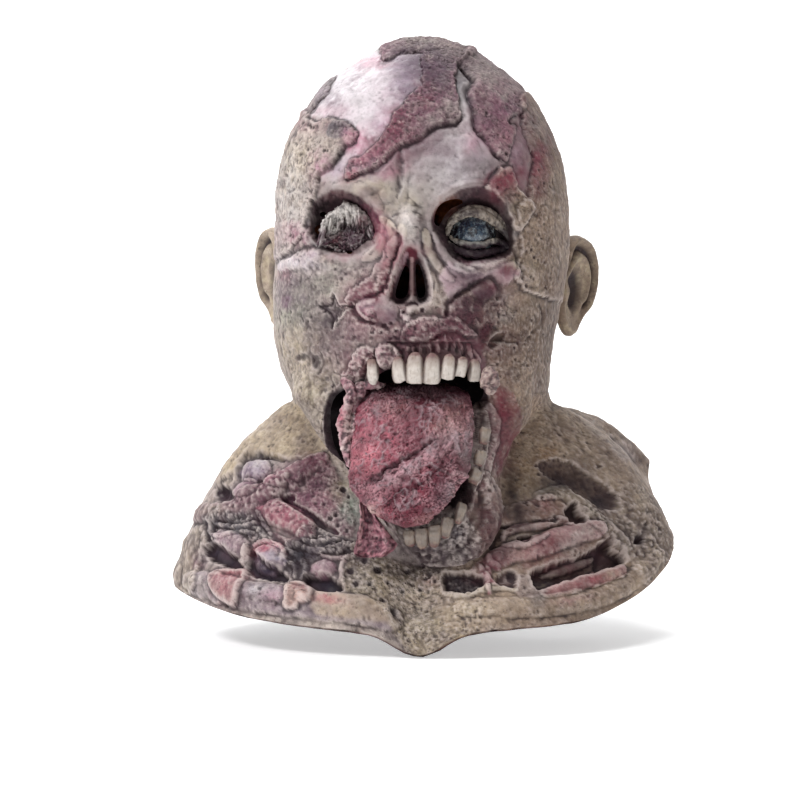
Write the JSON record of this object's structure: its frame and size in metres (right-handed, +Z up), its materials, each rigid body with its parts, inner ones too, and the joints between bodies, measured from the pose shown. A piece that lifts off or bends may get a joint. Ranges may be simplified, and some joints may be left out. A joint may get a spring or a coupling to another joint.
{
  "type": "full-head zombie mask",
  "caption": "Hollow full-head zombie mask: bared skull, sunken face, hanging jaw, swollen tongue, ears and a torn shoulder bib, open below for the wearer's head.",
  "frame": {"origin": "inside of the crown, where the mask bears on the wearer's head", "axes": "+Z up through the crown, the face looks towards -Y, +X is the wearer's left (the right-hand side of the picture)"},
  "size_m": [0.315, 0.251, 0.3814],
  "materials": {
    "skin_latex": "cast latex, matt, hand painted in grey-tan skin, bone and purple washes",
    "ear_latex": "cast latex, matt, tan with dark washes",
    "tongue_latex": "cast latex, satin, crimson with pale pink dry-brushing",
    "tooth_latex": "cast latex, satin, ivory with stained necks",
    "flesh_latex": "cast latex, satin, torn flesh in dark red and grey-pink",
    "eye_resin": "glossy, clouded blue-grey",
    "lid_latex": "cast latex, matt, grey with dark creases",
    "torn_eye_latex": "cast latex, matt, dark with whitish fibres"
  },
  "bodies": {
    "root": {"latex_skin": "skin_latex", "ear_wearers_left": "ear_latex", "ear_wearers_right": "ear_latex", "upper_tooth_1": "tooth_latex", "upper_tooth_2": "tooth_latex", "upper_tooth_3": "tooth_latex", "upper_tooth_4": "tooth_latex", "upper_tooth_5": "tooth_latex", "upper_tooth_6": "tooth_latex", "upper_tooth_7": "tooth_latex", "lower_tooth_1": "tooth_latex", "lower_tooth_2": "tooth_latex", "lower_tooth_3": "tooth_latex", "lower_tooth_4": "tooth_latex", "lower_tooth_5": "tooth_latex", "lower_molar_1": "tooth_latex", "lower_molar_2": "tooth_latex", "lower_molar_3": "tooth_latex", "tongue": "tongue_latex", "torn_lip_flap": "flesh_latex", "cheek_sinew": "flesh_latex", "lip_tag": "flesh_latex", "eyeball": "eye_resin", "eyelids": "lid_latex", "torn_eye": "torn_eye_latex"}
  },
  "joints": []
}
